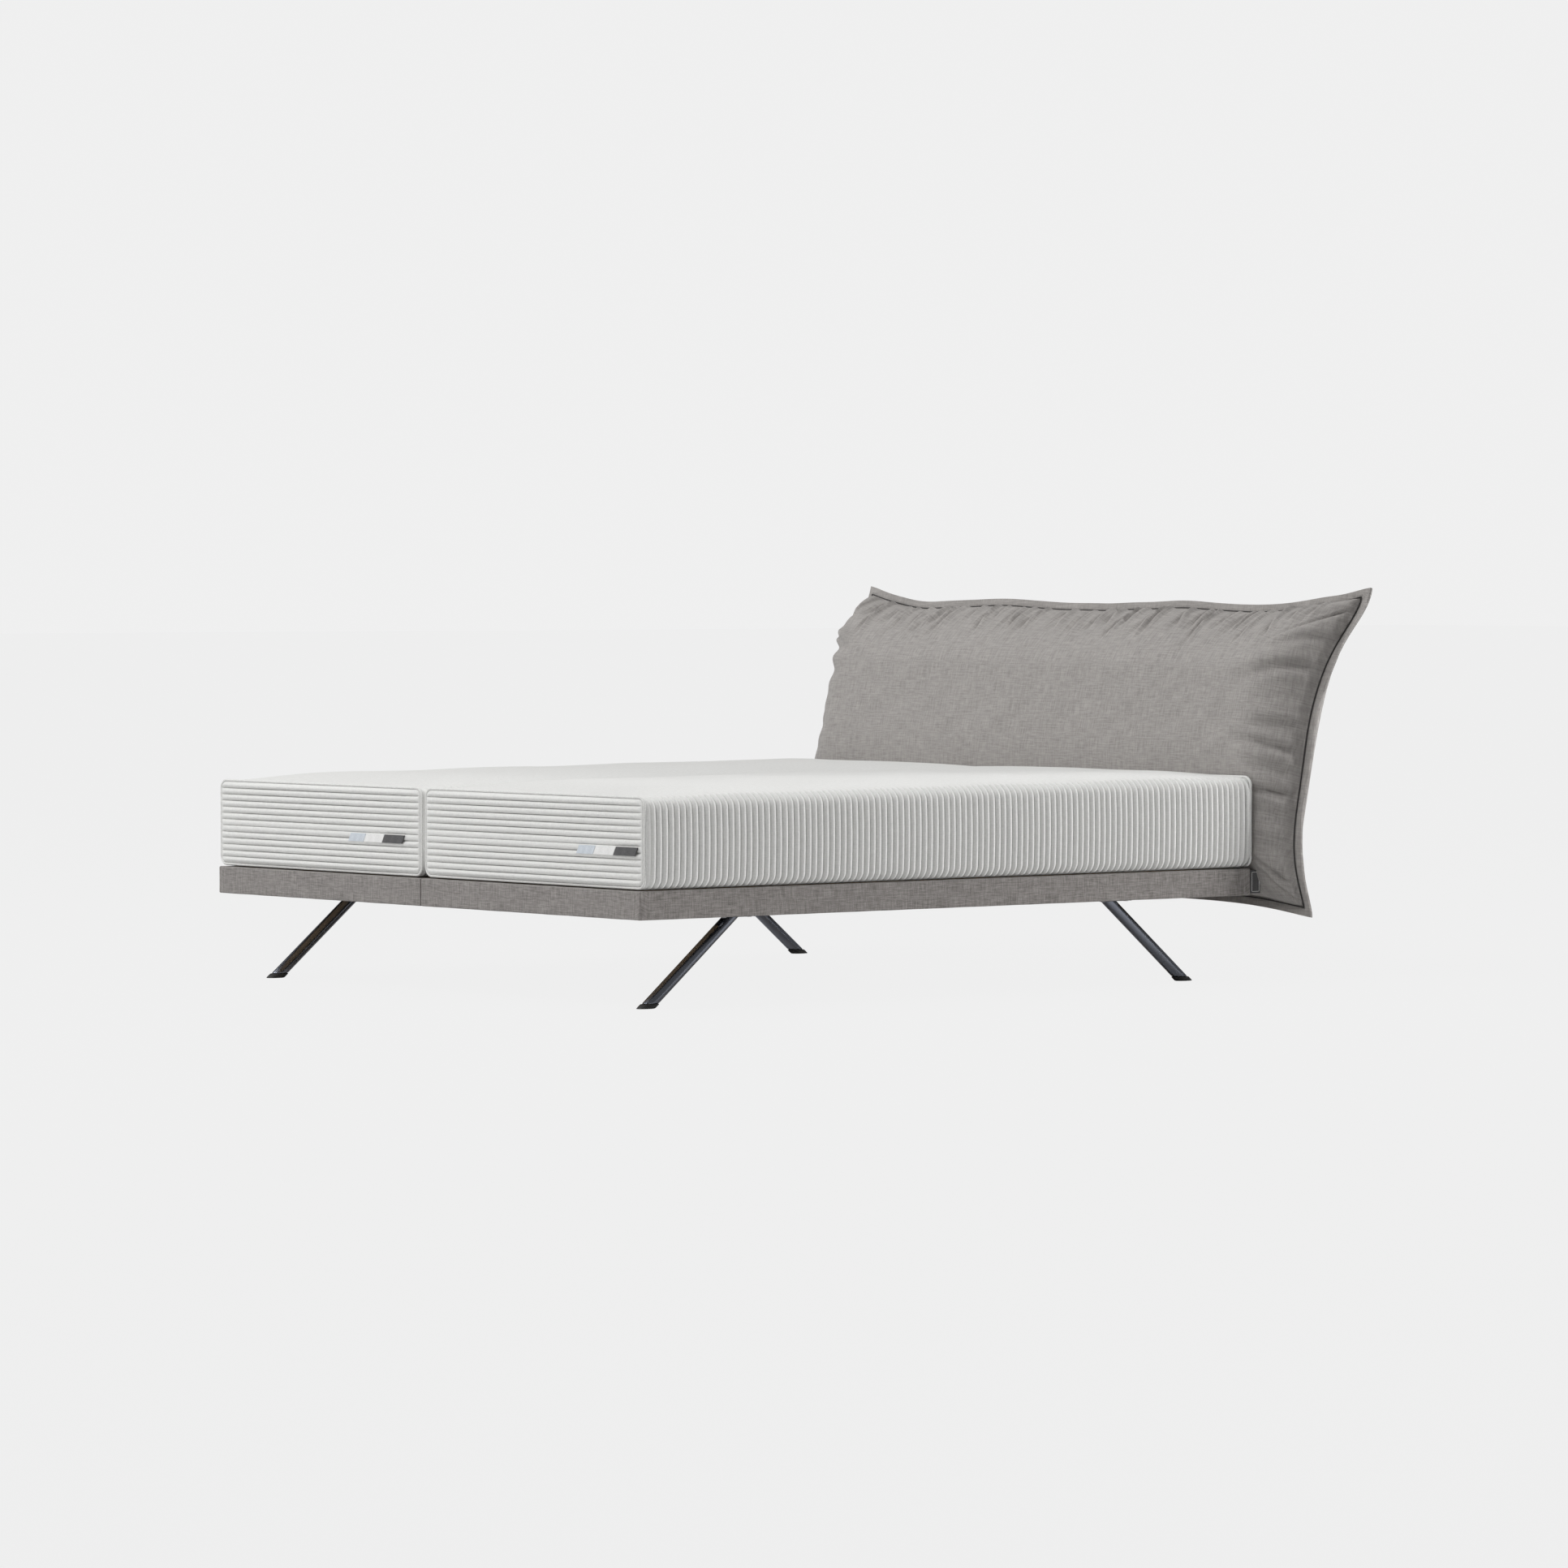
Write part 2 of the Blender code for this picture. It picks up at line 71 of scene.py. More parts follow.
# ---- mesh building ----
def loft(name, rings, uv, material, closed=False, caps=True, sharp_angle=50):
    """A closed solid through rings of points, (rings, points, 3). uv is (rings + closed, points + 1, 2)."""
    rings = np.asarray(rings, float)
    uv = np.asarray(uv, float)
    count, size = rings.shape[:2]
    spans = count if closed else count - 1
    index = np.arange(count * size).reshape(count, size)
    r, p = np.meshgrid(np.arange(spans), np.arange(size), indexing="ij")
    r, p = r.ravel(), p.ravel()
    r1, p1 = (r + 1) % count, (p + 1) % size
    quads = np.stack([index[r, p], index[r, p1], index[r1, p1], index[r1, p]], 1)
    corner = np.stack([uv[r, p], uv[r, p + 1], uv[r + 1, p + 1], uv[r + 1, p]], 1)
    points = rings.reshape(-1, 3)
    a, b, c, d = (points[quads[:, i]] - points.mean(0) for i in range(4))
    volume = np.einsum("ij,ij->", a, np.cross(b, c)) + np.einsum("ij,ij->", a, np.cross(c, d))
    faces = quads.tolist()
    corners = corner.reshape(-1, 2)
    if not closed and caps:
        faces += [index[0][::-1].tolist(), index[-1].tolist()]
        corners = np.concatenate([corners, uv[0, :size][::-1], uv[-1, :size]])
    mesh = bpy.data.meshes.new(name)
    mesh.from_pydata(points.tolist(), [], faces)
    layer = mesh.uv_layers.new(name="UVMap")
    layer.data.foreach_set("uv", corners.astype(np.float32).ravel())
    if volume < 0:
        mesh.flip_normals()
    mesh.shade_smooth()
    mesh.set_sharp_from_angle(angle=math.radians(sharp_angle))
    mesh.materials.append(material)
    made = bpy.data.objects.new(name, mesh)
    bpy.context.scene.collection.objects.link(made)
    return made


def plane_uv(rings, first, second, closed=False):
    """UVs in metres from two of the coordinates, for pieces that are mostly flat."""
    rings = np.asarray(rings, float)
    wrapped = np.concatenate([rings, rings[:, :1]], 1)
    if closed:
        wrapped = np.concatenate([wrapped, wrapped[:1]], 0)
    return np.stack([wrapped[..., first], wrapped[..., second]], -1)


def wrapped_uv(rings, closed=False):
    """UVs in metres measured along the rings and around them, for cloth that wraps a bar."""
    rings = np.asarray(rings, float)
    wrapped = np.concatenate([rings, rings[:, :1]], 1)
    if closed:
        wrapped = np.concatenate([wrapped, wrapped[:1]], 0)
    around = np.linalg.norm(np.diff(wrapped, axis=1), axis=2)
    around = np.concatenate([np.zeros((len(wrapped), 1)), np.cumsum(around, 1)], 1)
    middle = wrapped.mean(1)
    along = np.concatenate([[0.0], np.cumsum(np.linalg.norm(np.diff(middle, axis=0), axis=1))])
    return np.stack([np.repeat(along[:, None], wrapped.shape[1], 1), around], -1)


def rounded_section(low, high, radius, spacing, corner_steps=5):
    """Points (a, b) of a rounded rectangle, counterclockwise, with roughly even spacing on its flat sides."""
    (a0, b0), (a1, b1) = low, high
    centres = ((a1 - radius, b0 + radius, -90), (a1 - radius, b1 - radius, 0),
               (a0 + radius, b1 - radius, 90), (a0 + radius, b0 + radius, 180))
    corners = []
    for ca, cb, start in centres:
        turn = [math.radians(start + 90 * i / corner_steps) for i in range(corner_steps + 1)]
        corners.append([(ca + radius * math.cos(t), cb + radius * math.sin(t)) for t in turn])
    points = []
    for number, corner in enumerate(corners):
        points += corner
        following = corners[(number + 1) % 4][0]
        last = corner[-1]
        steps = max(1, round(math.dist(last, following) / spacing))
        for i in range(1, steps):
            t = i / steps
            points.append((last[0] + (following[0] - last[0]) * t, last[1] + (following[1] - last[1]) * t))
    return np.array(points)


def ripple(points, size, height):
    """A gentle unevenness of that height and size, the same on each run."""
    p = np.asarray(points) / size
    wave = (np.sin(p[..., 0] * 5.1 + 1.7 * np.sin(p[..., 1] * 3.3))
            + np.sin(p[..., 1] * 4.3 + 2.1 * np.sin(p[..., 2] * 4.9))
            + np.sin(p[..., 2] * 6.1 + 1.3 * np.sin(p[..., 0] * 2.7)))
    return wave * height / 3


def bar(name, low, high, radius, along, material, spacing=0.02, wobble=0.0):
    """A bar with rounded edges and chamfered ends between two corners, running along axis 0, 1 or 2."""
    others = [i for i in range(3) if i != along]
    section_low, section_high = [low[i] for i in others], [high[i] for i in others]
    section = rounded_section(section_low, section_high, radius, spacing)
    centre = (np.array(section_low) + np.array(section_high)) / 2
    length = high[along] - low[along]
    steps = max(2, round(length / spacing))
    stations = []
    for i in range(5):
        inset = radius * (1 - math.sin(math.pi / 2 * i / 4))
        stations += [(low[along] + inset, inset), (high[along] - inset, inset)]
    stations += [(low[along] + radius + (length - 2 * radius) * i / steps, 0.0) for i in range(1, steps)]
    stations.sort(key=lambda station: station[0])
    rings = []
    half = (np.array(section_high) - np.array(section_low)) / 2
    for place, inset in stations:
        shrink = 1 - inset / half
        ring = np.zeros((len(section), 3))
        ring[:, others[0]] = centre[0] + (section[:, 0] - centre[0]) * shrink[0]
        ring[:, others[1]] = centre[1] + (section[:, 1] - centre[1]) * shrink[1]
        ring[:, along] = place
        rings.append(ring)
    rings = np.array(rings)
    if wobble:
        outward = rings - rings.mean(1, keepdims=True)
        outward /= np.linalg.norm(outward, axis=2, keepdims=True) + 1e-9
        rings = rings + outward * ripple(rings, 0.12, wobble)[..., None]
    return loft(name, rings, wrapped_uv(rings), material)


def tube_along(name, path, radius, material, sides=10, closed=True):
    """A round cord along a path of points, with UVs in metres."""
    path = np.asarray(path, float)
    if closed:
        tangent = np.roll(path, -1, 0) - np.roll(path, 1, 0)
    else:
        tangent = np.gradient(path, axis=0)
    tangent /= np.linalg.norm(tangent, axis=1, keepdims=True)
    helper = np.where(np.abs(tangent[:, 1:2]) < 0.9, [[0.0, 1.0, 0.0]], [[1.0, 0.0, 0.0]])
    side = np.cross(tangent, helper)
    side /= np.linalg.norm(side, axis=1, keepdims=True)
    other = np.cross(tangent, side)
    turn = np.arange(sides) * 2 * math.pi / sides
    rings = path[:, None] + radius * (side[:, None] * np.cos(turn)[None, :, None]
                                      + other[:, None] * np.sin(turn)[None, :, None])
    return loft(name, rings, wrapped_uv(rings, closed), material, closed=closed)


# ---- materials ----
def node(tree, kind, inputs=None, **settings):
    made = tree.nodes.new(kind)
    for key, value in settings.items():
        setattr(made, key, value)
    for key, value in (inputs or {}).items():
        if isinstance(value, bpy.types.NodeSocket):
            tree.links.new(value, made.inputs[key])
        else:
            made.inputs[key].default_value = value
    return made


def math_node(tree, operation, first, second=0.0, third=0.0):
    return node(tree, "ShaderNodeMath", {0: first, 1: second, 2: third}, operation=operation).outputs[0]


def new_material(name, roughness, metallic=0.0, sheen=0.0, coat=0.0):
    made = bpy.data.materials.new(name)
    made.use_nodes = True
    tree = made.node_tree
    shader = tree.nodes["Principled BSDF"]
    shader.inputs["Roughness"].default_value = roughness
    shader.inputs["Metallic"].default_value = metallic
    shader.inputs["Sheen Weight"].default_value = sheen
    shader.inputs["Sheen Roughness"].default_value = 0.5
    shader.inputs["Coat Weight"].default_value = coat
    return made, tree, shader


def streaks(tree, vector, across, along, detail=2.0):
    """Noise drawn out along one thread direction."""
    mapped = node(tree, "ShaderNodeMapping", {"Vector": vector, "Scale": (across, along, 1.0)})
    noise = node(tree, "ShaderNodeTexNoise", {"Vector": mapped.outputs[0], "Scale": 1.0, "Detail": detail})
    return noise.outputs[0]


def woven(name, dark, light, thread, slub, bump, roughness=0.9, sheen=0.2, mottle=0.22):
    """A woven cloth: heathered fine and coarse threads both ways, in relief, and a slow change of shade."""
    made, tree, shader = new_material(name, roughness, sheen=sheen)
    uv = node(tree, "ShaderNodeUVMap", uv_map="UVMap").outputs[0]
    warp = streaks(tree, uv, 1 / thread, 1 / slub)
    weft = streaks(tree, uv, 1 / slub, 1 / thread)
    threads = math_node(tree, "ADD", warp, weft)
    thick_warp = streaks(tree, uv, 0.42 / thread, 0.40 / slub, 1.0)
    thick_weft = streaks(tree, uv, 0.40 / slub, 0.42 / thread, 1.0)
    slubs = math_node(tree, "ADD", thick_warp, thick_weft)
    cloud = node(tree, "ShaderNodeTexNoise", {"Vector": uv, "Scale": 5.0, "Detail": 3.0}).outputs[0]
    shade = math_node(tree, "MULTIPLY_ADD", cloud, mottle, math_node(tree, "ADD", threads, slubs))
    low, high = 1.58 + mottle / 2, 2.42 + mottle / 2
    share = node(tree, "ShaderNodeMapRange", {"Value": shade, "From Min": low, "From Max": high})
    colour = node(tree, "ShaderNodeMix", {0: share.outputs[0], 6: (*dark, 1.0), 7: (*light, 1.0)},
                  data_type="RGBA")
    tree.links.new(colour.outputs[2], shader.inputs["Base Color"])
    split = node(tree, "ShaderNodeSeparateXYZ", {0: uv})
    turns = math.pi / thread
    across = math_node(tree, "SINE", math_node(tree, "MULTIPLY", split.outputs[0], turns))
    along = math_node(tree, "SINE", math_node(tree, "MULTIPLY", split.outputs[1], turns))
    weave = math_node(tree, "MULTIPLY", across, along)
    relief = math_node(tree, "MULTIPLY_ADD", threads, 1.5, weave)
    height = node(tree, "ShaderNodeBump", {"Strength": 0.7, "Distance": bump, "Height": relief})
    tree.links.new(height.outputs[0], shader.inputs["Normal"])
    return made


def painted(name, colour, roughness, metallic, grain, bump, wear=0.0):
    """A hard surface: a slightly uneven finish with fine texture, from the object's own coordinates."""
    made, tree, shader = new_material(name, roughness, metallic)
    place = node(tree, "ShaderNodeTexCoord").outputs["Object"]
    fine = node(tree, "ShaderNodeTexNoise", {"Vector": place, "Scale": grain, "Detail": 3.0}).outputs[0]
    slow = node(tree, "ShaderNodeTexNoise", {"Vector": place, "Scale": 9.0, "Detail": 4.0}).outputs[0]
    darker = tuple(c * (0.86 - wear) for c in colour)
    lighter = tuple(min(1.0, c * (1.14 + wear)) for c in colour)
    tone = node(tree, "ShaderNodeMix", {0: slow, 6: (*darker, 1.0), 7: (*lighter, 1.0)}, data_type="RGBA")
    tree.links.new(tone.outputs[2], shader.inputs["Base Color"])
    rough = node(tree, "ShaderNodeMapRange",
                 {"Value": fine, "To Min": roughness * 0.8, "To Max": roughness * 1.2})
    tree.links.new(rough.outputs[0], shader.inputs["Roughness"])
    height = node(tree, "ShaderNodeBump", {"Strength": 0.4, "Distance": bump, "Height": fine})
    tree.links.new(height.outputs[0], shader.inputs["Normal"])
    return made


def plywood(name):
    """Birch plywood: long grain along X, darker growth lines and a satin lacquer."""
    made, tree, shader = new_material(name, 0.5, coat=0.15)
    place = node(tree, "ShaderNodeTexCoord").outputs["Object"]
    mapped = node(tree, "ShaderNodeMapping", {"Vector": place, "Scale": (1.3, 26.0, 26.0)}).outputs[0]
    grain = node(tree, "ShaderNodeTexNoise",
                 {"Vector": mapped, "Scale": 2.2, "Detail": 6.0, "Distortion": 0.6}).outputs[0]
    ramp = node(tree, "ShaderNodeValToRGB", {0: grain})
    ramp.color_ramp.elements[0].position = 0.32
    ramp.color_ramp.elements[0].color = (0.42, 0.27, 0.14, 1.0)
    ramp.color_ramp.elements[1].position = 0.68
    ramp.color_ramp.elements[1].color = (0.66, 0.49, 0.30, 1.0)
    tree.links.new(ramp.outputs[0], shader.inputs["Base Color"])
    height = node(tree, "ShaderNodeBump", {"Strength": 0.3, "Distance": 0.0003, "Height": grain})
    tree.links.new(height.outputs[0], shader.inputs["Normal"])
    return made


BASE_FABRIC = woven("base_linen", (0.158, 0.146, 0.138), (0.346, 0.322, 0.308), 0.0016, 0.018, 0.0004)
# The cushion's cloth is much the same cloth as the base, in lighter colours: painted light for the headboard's
# brighter, upward-facing front.
CUSHION_FABRIC_PAINTED_LIGHTER = woven("cushion_linen_painted_lighter", (0.262, 0.247, 0.236), (0.412, 0.390, 0.373), 0.0016, 0.020, 0.0004)
# near-black cloth for the headboard's seam cord: painted shade for the shadow in the seam's groove
SEAM_PAINTED_SHADE = woven("seam_painted_shade", (0.018, 0.017, 0.016), (0.05, 0.047, 0.045), 0.0010, 0.004, 0.0003)
TICKING = woven("ticking", (0.71, 0.71, 0.695), (0.81, 0.81, 0.792), 0.0011, 0.006, 0.0002, mottle=0.15)
WELT = woven("ticking_welt", (0.68, 0.68, 0.665), (0.85, 0.85, 0.83), 0.0009, 0.003, 0.0002, mottle=0.1)
STEEL = painted("powder_coat", (0.035, 0.036, 0.040), 0.45, 0.5, 900.0, 0.0002)
CHROME = painted("black_chrome", (0.235, 0.250, 0.290), 0.24, 1.0, 25.0, 0.000002)
BRIGHT_STEEL = painted("bright_steel", (0.60, 0.60, 0.61), 0.28, 1.0, 240.0, 0.00005)
PLASTIC = painted("moulded_plastic", (0.035, 0.035, 0.038), 0.5, 0.0, 1300.0, 0.0002)
GLIDE = painted("glide_rubber", (0.022, 0.022, 0.022), 0.62, 0.0, 700.0, 0.0002)
DECK = plywood("deck_plywood")
TAG_BLUE = woven("tag_blue", (0.56, 0.61, 0.67), (0.68, 0.73, 0.78), 0.0008, 0.003, 0.0001, mottle=0.1)
TAG_WHITE = woven("tag_white", (0.80, 0.80, 0.79), (0.90, 0.90, 0.89), 0.0008, 0.003, 0.0001, mottle=0.1)
TAG_DARK = woven("tag_dark", (0.060, 0.060, 0.062), (0.105, 0.105, 0.108), 0.0008, 0.003, 0.0001, mottle=0.1)

# ---- camera: at the photograph's distance and angle ----
CAMERA_PLACE = Vector((13.3218, BASE_Y - 10.5956, 1.0462))
CAMERA_AZIMUTH, CAMERA_PITCH = math.radians(51.052), math.radians(1.812)
camera = bpy.data.objects.new("camera", bpy.data.cameras.new("camera"))
camera.data.lens = 150.28
camera.data.sensor_width = 36.0
camera.data.clip_end = 400.0
camera.location = CAMERA_PLACE
backward = Vector((math.sin(CAMERA_AZIMUTH) * math.cos(CAMERA_PITCH),
                   -math.cos(CAMERA_AZIMUTH) * math.cos(CAMERA_PITCH), math.sin(CAMERA_PITCH)))
camera.rotation_mode = "QUATERNION"
camera.rotation_quaternion = (-backward).to_track_quat("-Z", "Y")
bpy.context.scene.collection.objects.link(camera)
bpy.context.scene.camera = camera


# ---- base upholstery ----
def base_border(side, sign):
    """One strip of cloth round the foot, outer side and head rail, with crisp corners and a rounded edge."""
    seam, radius, corner = 0.001, 0.0035, 0.004
    inner_corner = 0.001
    wobble = 0.0004
    low_z, high_z = BASE_LOW, BASE_HIGH
    depth = RAIL_T
    stations = []
    outer_x, inner_x = HALF_WIDTH, HALF_WIDTH - depth
    straight = outer_x - corner - seam
    steps = 44
    for i in range(5):
        turn = math.pi / 2 * i / 4
        inset = radius * (1 - math.sin(turn))
        stations.append((seam + radius * (1 - math.cos(turn)), None, inset, "foot"))
    stations += [(seam + straight * i / steps, None, 0.0, "foot") for i in range(1, steps + 1)]
    for i in range(1, 5):
        stations.append((None, math.radians(90 * i / 5), 0.0, "foot_corner"))
    run = HEAD_Y - FOOT_Y - 2 * corner
    long_steps = 96
    stations += [(FOOT_Y + corner + run * i / long_steps, None, 0.0, "side") for i in range(long_steps + 1)]
    for i in range(1, 5):
        stations.append((None, math.radians(90 * i / 5), 0.0, "head_corner"))
    stations += [(outer_x - corner - straight * i / steps, None, 0.0, "head") for i in range(steps)]
    for i in range(4, -1, -1):
        turn = math.pi / 2 * i / 4
        inset = radius * (1 - math.sin(turn))
        stations.append((seam + radius * (1 - math.cos(turn)), None, inset, "head"))
    section = rounded_section((0.0, low_z), (depth, high_z), radius, 0.012, 4)
    middle = np.array([depth / 2, (low_z + high_z) / 2])
    half = np.array([depth / 2, (high_z - low_z) / 2])
    rings = []
    for place, turn, inset, part in stations:
        shrunk = middle + (section - middle) * (1 - inset / half)
        share = shrunk[:, 0] / depth
        if part in ("foot", "head"):
            outer = np.array([place, FOOT_Y if part == "foot" else HEAD_Y])
            inward = depth if part == "foot" else -depth
            inner = np.array([min(place, inner_x - inner_corner), outer[1] + inward])
        elif part == "side":
            outer = np.array([outer_x, place])
            nearest = FOOT_Y + depth + inner_corner
            farthest = HEAD_Y - depth - inner_corner
            inner = np.array([inner_x, min(max(place, nearest), farthest)])
        else:
            end = 1 if part == "foot_corner" else -1
            edge = FOOT_Y if part == "foot_corner" else HEAD_Y
            reach = turn if part == "foot_corner" else math.pi / 2 - turn
            over, out = 1 - math.sin(reach), 1 - math.cos(reach)
            outer = np.array([outer_x - corner * over, edge + end * corner * out])
            inner = np.array([inner_x - inner_corner * over, edge + end * (depth + inner_corner * out)])
        plan = outer[None] + (inner - outer)[None] * share[:, None]
        rings.append(np.column_stack([sign * plan[:, 0], plan[:, 1], shrunk[:, 1]]))
    rings = np.array(rings)
    outward = rings - rings.mean(1, keepdims=True)
    outward /= np.linalg.norm(outward, axis=2, keepdims=True) + 1e-9
    rings += outward * (ripple(rings, 0.10, wobble) - wobble)[..., None]
    made = loft(f"{side}_base_upholstery", rings, wrapped_uv(rings), BASE_FABRIC, sharp_angle=70)
    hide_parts(f"{side}_foot_rail", f"{side}_side_rail", f"{side}_head_rail")
    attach(made, "base")


def inner_border(side):
    low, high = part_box(f"{side}_inner_rail")
    made = bar(f"{side}_inner_upholstery", low, high, 0.003, 1, BASE_FABRIC, wobble=0.0003)
    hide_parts(f"{side}_inner_rail")
    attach(made, "base")


# ---- mattresses ----
RIB_PITCH = 0.01855
RIB_DEPTH = 0.0150
RIB_SHAPE = (-0.5, -0.475, -0.43, -0.34, -0.18, 0.0, 0.18, 0.34, 0.43, 0.475)
CHANNELS = 13
EDGE_Z = 0.5165
HEAD_RISE = 0.012
CROWN = 0.019
EDGE_RADIUS = 0.030
SIDE_BULGE = 0.004
SEAT_CUT, THIGH_CUT = 0.105, -0.155  # where a mattress's covers meet, from the hip hinge
END_GAP = 0.004
FOOT_ROUND, HEAD_ROUND = 0.014, 0.026
PANEL_SHAPE = (-0.5, -0.475, -0.43, -0.34, -0.16, 0.0, 0.16, 0.34, 0.43, 0.475)
PANEL_GROOVE = 0.0112
LABEL_CHANNEL = 6


def lobe(phase):
    """Height of a rib, 0 in the groove and 1 on the crest, for a phase from -0.5 to 0.5."""
    return np.sqrt(np.clip(1 - (2 * np.abs(phase)) ** 2.5, 0, 1))


def ease(distance, reach):
    """Rises from 0 to 1 over that reach, quickly at first."""
    return 1 - (1 - np.clip(distance / reach, 0, 1)) ** 2


def mattress_section(half_width, low, high):
    """The mattress's outline across its width: points, outward directions, and how far the ribs show."""
    outline = rounded_section((-half_width, low), (half_width, high), EDGE_RADIUS, 0.026, 8)
    tangent = np.roll(outline, -1, 0) - np.roll(outline, 1, 0)
    tangent /= np.linalg.norm(tangent, axis=1, keepdims=True)
    normal = np.column_stack([tangent[:, 1], -tangent[:, 0]])
    edge = half_width - np.abs(outline[:, 0])
    ribs = np.clip(1 - (edge - EDGE_RADIUS * 0.55) / 0.016, 0, 1)
    ribs = ribs * ribs * (3 - 2 * ribs)
    up = (outline[:, 1] * 2 - low - high) / (high - low)
    bulge = np.where(edge < EDGE_RADIUS * 0.9, SIDE_BULGE * (1 - up ** 2), 0.0)
    return outline + np.column_stack([np.sign(outline[:, 0]) * bulge, np.zeros(len(outline))]), normal, ribs


def mattress(side):
    low_corner, high_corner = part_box(f"{side}_mattress_seat")
    foot_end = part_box(f"{side}_mattress_calf")[0].y
    head_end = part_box(f"{side}_mattress_back")[1].y
    low, high = low_corner.z, EDGE_Z
    centre_x = (low_corner.x + high_corner.x) / 2
    half_width = (high_corner.x - low_corner.x) / 2 - 0.001
    outline, normal, ribs = mattress_section(half_width, low, high)
    hip, knee = AXIS[f"{side}_thigh_tilt"].y, AXIS[f"{side}_calf_tilt"].y

    def on_groove(y):
        return foot_end + RIB_PITCH * round((y - foot_end) / RIB_PITCH)

    cut_seat, cut_thigh = on_groove(hip + SEAT_CUT), on_groove(hip + THIGH_CUT)
    first = foot_end + RIB_PITCH
    count = int((head_end - 0.020 - first) / RIB_PITCH)
    last = first + RIB_PITCH * count
    stations = []
    for k in range(7):
        turn = math.pi / 2 * k / 6
        place = foot_end + END_GAP + 0.012 * (1 - math.cos(turn))
        stations.append((place, 1 - math.sin(turn), FOOT_ROUND, 0.0))
    for i in range(count):
        stations += [(first + RIB_PITCH * (i + 0.5 + s), 0.0, FOOT_ROUND, 1 - float(lobe(s)))
                     for s in RIB_SHAPE]
    stations.append((last, 0.0, FOOT_ROUND, 1.0))
    for k in range(1, 9):
        turn = math.pi / 2 * k / 8
        place = last + (head_end - END_GAP - last) * math.sin(turn)
        stations.append((place, 1 - math.cos(turn), HEAD_ROUND, 0.0))
    middle = np.array([0.0, (low + high) / 2])
    half = np.array([half_width, (high - low) / 2])
    upper = outline[:, 1] > high - 0.004
    rings = []
    for y, inset, round_z, groove in stations:
        shrink = 1 - inset * np.array([0.009, round_z]) / half
        section = middle + (outline - middle) * shrink - normal * (groove * RIB_DEPTH * ribs)[:, None]
        end = min(y - foot_end, head_end - y)
        crown = CROWN * ease(half_width - np.abs(section[:, 0]) - 0.016, 0.20) * float(ease(end, 0.24))
        share = (y - foot_end) / (head_end - foot_end)
        lift = np.clip((section[:, 1] - low) / (high - low), 0, 1) * HEAD_RISE * share
        section[:, 1] += np.where(upper, crown, 0.0) + lift
        rings.append(np.column_stack([centre_x + section[:, 0], np.full(len(section), y), section[:, 1]]))
    rings = np.array(rings)
    rings[..., 2] += np.where(upper, ripple(rings, 0.30, 0.0022), 0.0)
    y_of = rings[:, 0, 1]
    girth = np.concatenate([[0.0], np.cumsum(np.linalg.norm(np.roll(outline, -1, 0) - outline, axis=1))])
    uv = np.stack(np.meshgrid(y_of, girth, indexing="ij"), -1)
    pieces = {}
    parts = (("calf", -math.inf, cut_thigh), ("thigh", cut_thigh, cut_seat), ("back", cut_seat, math.inf))
    for part, begin, end in parts:
        chosen = (y_of >= begin - 1e-5) & (y_of <= end + 1e-5)
        cover = loft(f"{side}_mattress_{part}_cover", rings[chosen], uv[chosen], TICKING, sharp_angle=75)
        pieces[part] = cover
    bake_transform(pieces["calf"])
    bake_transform(pieces["thigh"])
    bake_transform(pieces["back"])
    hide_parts(f"{side}_mattress_calf")
    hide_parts(f"{side}_mattress_thigh", f"{side}_mattress_seat")
    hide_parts(f"{side}_mattress_back")
    ends = (("foot", foot_end, -1, high, f"{side}_calf"),
            ("head", head_end, 1, high + HEAD_RISE, f"{side}_back"))
    for end, y, outward, top, body in ends:
        end_panel(side, end, centre_x, half_width, low, top, y, outward, body)
    mattress_tag(side, centre_x + half_width, foot_end, low, high)


def end_panel(side, end, centre_x, half_width, low, high, y, outward, body):
    """The channelled panel sewn into a mattress's end, with a welt round it."""
    margin, radius = 0.0085, 0.019
    width, bottom, top = half_width - margin, low + margin, high - 0.004
    pitch = (top - bottom) / CHANNELS
    levels = [bottom + pitch * (i + 0.5 + s) for i in range(CHANNELS) for s in PANEL_SHAPE] + [top]
    across = np.concatenate([[-1, -0.997, -0.99, -0.98, -0.965], np.linspace(-0.945, 0.945, 37),
                             [0.965, 0.98, 0.99, 0.997, 1]])
    rings = []
    for z in levels:
        edge = min(z - bottom, top - z)
        reach = width - radius + math.sqrt(max(radius ** 2 - max(radius - edge, 0) ** 2, 0))
        phase = ((z - bottom) / pitch) % 1.0 - 0.5
        x = centre_x + across * reach
        side_gap = (1 - np.abs(across)) * reach
        rise = np.sqrt(ease(side_gap, 0.012))
        rise_z = math.sqrt(ease(edge, 0.010))
        groove = (1 - float(lobe(phase))) * PANEL_GROOVE
        if abs((z - bottom) / pitch - LABEL_CHANNEL) < 0.5:
            groove *= 0.5
        fade = ease(side_gap - 0.006, 0.010)
        crown = 0.004 * (1 - across ** 4)
        front = 0.0030 + (0.0045 * rise + crown) * rise_z - groove * fade * min(1.0, edge / 0.004)
        ring_x = np.concatenate([x, [centre_x + reach, centre_x - reach]])
        ring_y = np.concatenate([y - outward * (0.0065 - front), [y - outward * 0.014] * 2])
        rings.append(np.column_stack([ring_x, ring_y, np.full(len(ring_x), z)]))
    rings = np.array(rings)
    made = loft(f"{side}_mattress_{end}_panel", rings, plane_uv(rings, 0, 2), TICKING, sharp_angle=75)
    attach(made, body)
    outline = rounded_section((centre_x - half_width + 0.0045, low + 0.0045),
                              (centre_x + half_width - 0.0045, high - 0.0005), 0.022, 0.010, 8)
    path = np.column_stack([outline[:, 0], np.full(len(outline), y - outward * 0.0045), outline[:, 1]])
    welt = tube_along(f"{side}_mattress_{end}_welt", path, 0.0034, WELT)
    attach(welt, body)


